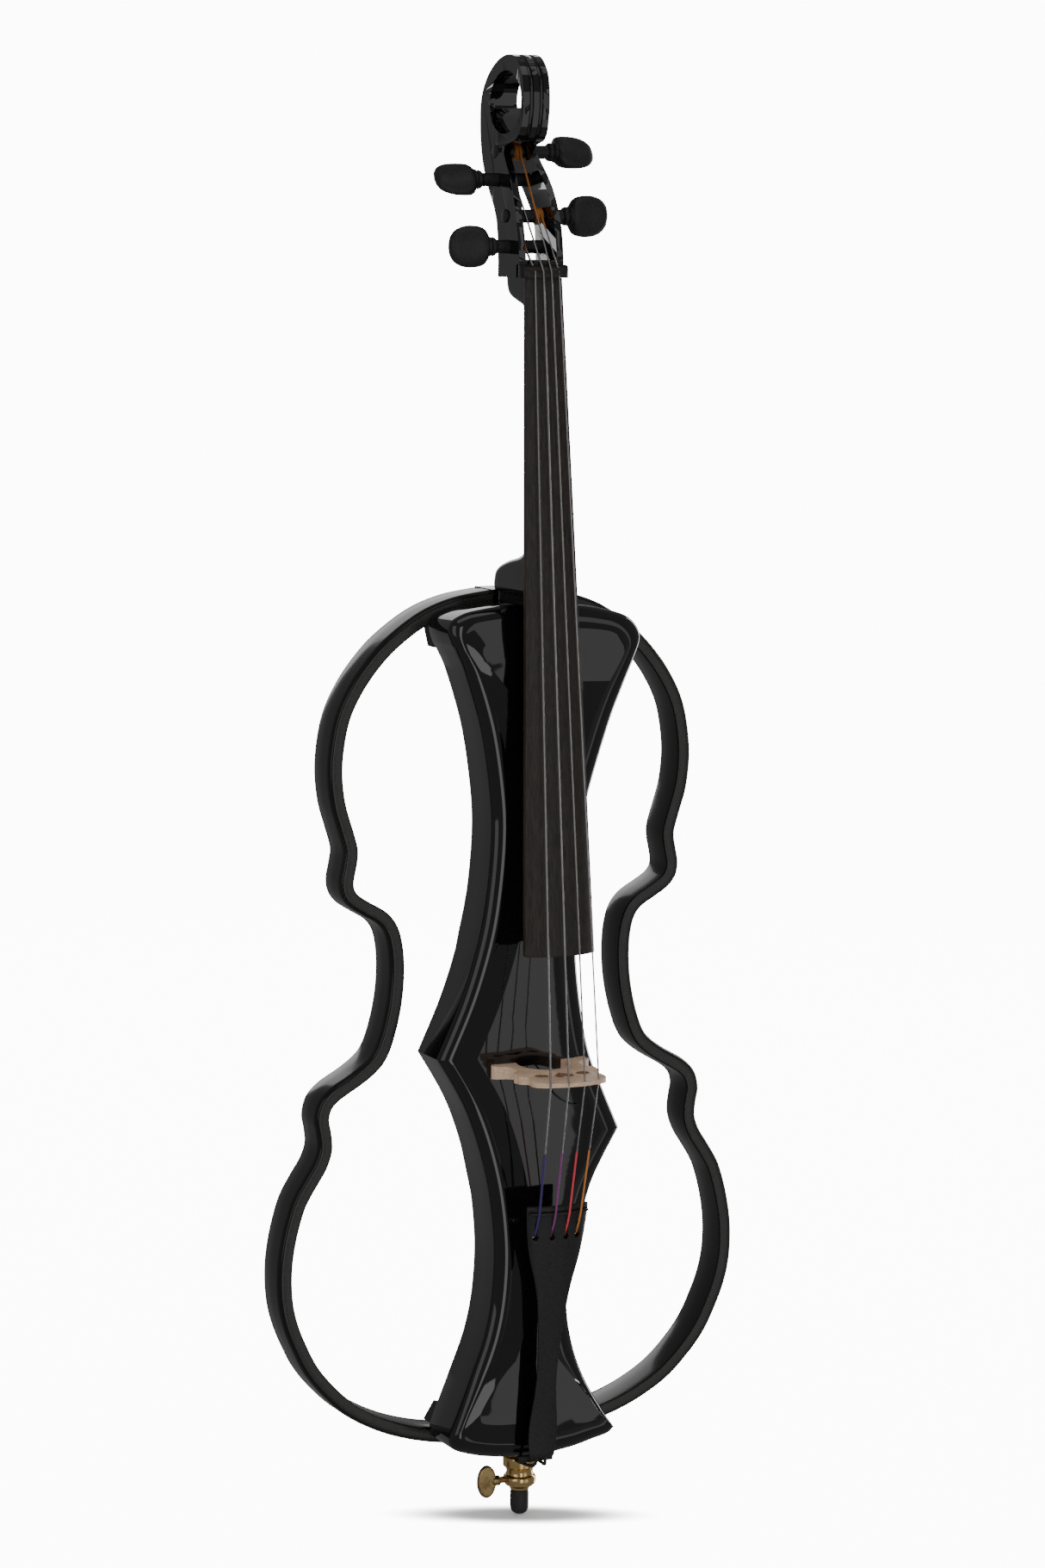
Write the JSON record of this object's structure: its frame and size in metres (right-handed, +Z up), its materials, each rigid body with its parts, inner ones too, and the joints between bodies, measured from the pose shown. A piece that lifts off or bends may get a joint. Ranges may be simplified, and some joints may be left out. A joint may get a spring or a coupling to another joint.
{
  "type": "electric cello",
  "caption": "Full-size electric cello with a solid black core, open bout frames, wooden bridge, tuning pegs and a sliding endpin.",
  "frame": {"origin": "ground end of the retracted endpin, on the endpin's axis", "axes": "+Z up the endpin and along the body towards the scroll, -Y out of the front towards the strings and bridge, +X to the viewer's right when facing the front (the A-string side)"},
  "size_m": [0.445, 0.1861, 1.2885],
  "materials": {
    "lacquer": "polished black lacquer",
    "frame_lacquer": "satin black lacquer, fine grain on the front face",
    "satin_black": "satin black stain",
    "dark_board": "dark brown, satin",
    "maple": "pale maple, oiled",
    "steel_string": "flat wound, satin",
    "silk_peg": "silk winding",
    "brass": "polished",
    "old_brass": "antique",
    "steel": "satin",
    "rubber": "matt",
    "cord_black": "braided",
    "plate_black": "fine matt",
    "knob_black": "gloss",
    "dowel_wood": "plain beech",
    "board_green": "solder resist",
    "battery_shell": "printed sleeve, no text",
    "nickel": "nickel plate",
    "pickup_black": "matt"
  },
  "bodies": {
    "body": {"body_core": "lacquer", "back_spine": "lacquer", "frame_left": "frame_lacquer", "frame_right": "frame_lacquer", "corner_blocks": "satin_black", "block_screws": "steel", "frame_dowels": "dowel_wood", "neck": "lacquer", "scroll_head": "lacquer", "neck_bolts": "steel", "fingerboard": "dark_board", "nut": "dark_board", "string_c": "steel_string", "string_g": "steel_string", "string_d": "steel_string", "string_a": "steel_string", "string_balls": "brass", "bridge": "maple", "piezo_pickup": "pickup_black", "pickup_lead": "rubber", "lead_grommet": "rubber", "tailpiece": "satin_black", "tailpiece_fret": "dark_board", "tail_cord": "cord_black", "saddle": "dark_board", "endpin_collar": "brass", "control_plate": "plate_black", "plate_screws": "steel", "potentiometers": "nickel", "preamp_board": "board_green", "battery": "battery_shell", "battery_door_pin": "steel", "output_jack": "nickel", "headphone_jack": "nickel", "switch_body": "plate_black"},
    "peg_c_body": {"peg_c": "satin_black", "turns_c": "silk_peg"},
    "peg_g_body": {"peg_g": "satin_black", "turns_g": "silk_peg"},
    "peg_d_body": {"peg_d": "satin_black", "turns_d": "silk_peg"},
    "peg_a_body": {"peg_a": "satin_black", "turns_a": "silk_peg"},
    "endpin": {"endpin_rod": "steel", "endpin_tip": "rubber"},
    "thumbscrew": {"endpin_thumbscrew": "old_brass"},
    "volume": {"volume_knob": "knob_black"},
    "tone": {"tone_knob": "knob_black"},
    "power_slider": {"switch_slider": "knob_black"},
    "door": {"battery_door": "plate_black"}
  },
  "joints": [
    {"name": "peg_c_turn", "type": "hinge", "parent": "body", "child": "peg_c_body", "pos_m": [0, -0.006, 1.125], "axis": [-1, 0, 0], "continuous": true},
    {"name": "peg_g_turn", "type": "hinge", "parent": "body", "child": "peg_g_body", "pos_m": [0, 0.024, 1.182], "axis": [-1, 0, 0], "continuous": true},
    {"name": "peg_d_turn", "type": "hinge", "parent": "body", "child": "peg_d_body", "pos_m": [0, 0.032, 1.206], "axis": [1, 0, 0], "continuous": true},
    {"name": "peg_a_turn", "type": "hinge", "parent": "body", "child": "peg_a_body", "pos_m": [0, 0, 1.151], "axis": [1, 0, 0], "continuous": true},
    {"name": "endpin_slide", "type": "slide", "parent": "body", "child": "endpin", "axis": [0, 0, -1], "range_m": [0, 0.35]},
    {"name": "thumbscrew_turn", "type": "hinge", "parent": "body", "child": "thumbscrew", "pos_m": [-0.03, 0, 0.0325], "axis": [-1, 0, 0], "range_deg": [0, 540]},
    {"name": "volume_turn", "type": "hinge", "parent": "body", "child": "volume", "pos_m": [-0.016, 0.065, 0.47], "axis": [0, 1, 0], "range_deg": [0, 300]},
    {"name": "tone_turn", "type": "hinge", "parent": "body", "child": "tone", "pos_m": [0.016, 0.065, 0.47], "axis": [0, 1, 0], "range_deg": [0, 300]},
    {"name": "power_slide", "type": "slide", "parent": "body", "child": "power_slider", "axis": [1, 0, 0], "range_m": [0, 0.0074]},
    {"name": "battery_door_turn", "type": "hinge", "parent": "body", "child": "door", "pos_m": [0, 0.0555, 0.311], "axis": [-1, 0, 0], "range_deg": [0, 95]}
  ]
}
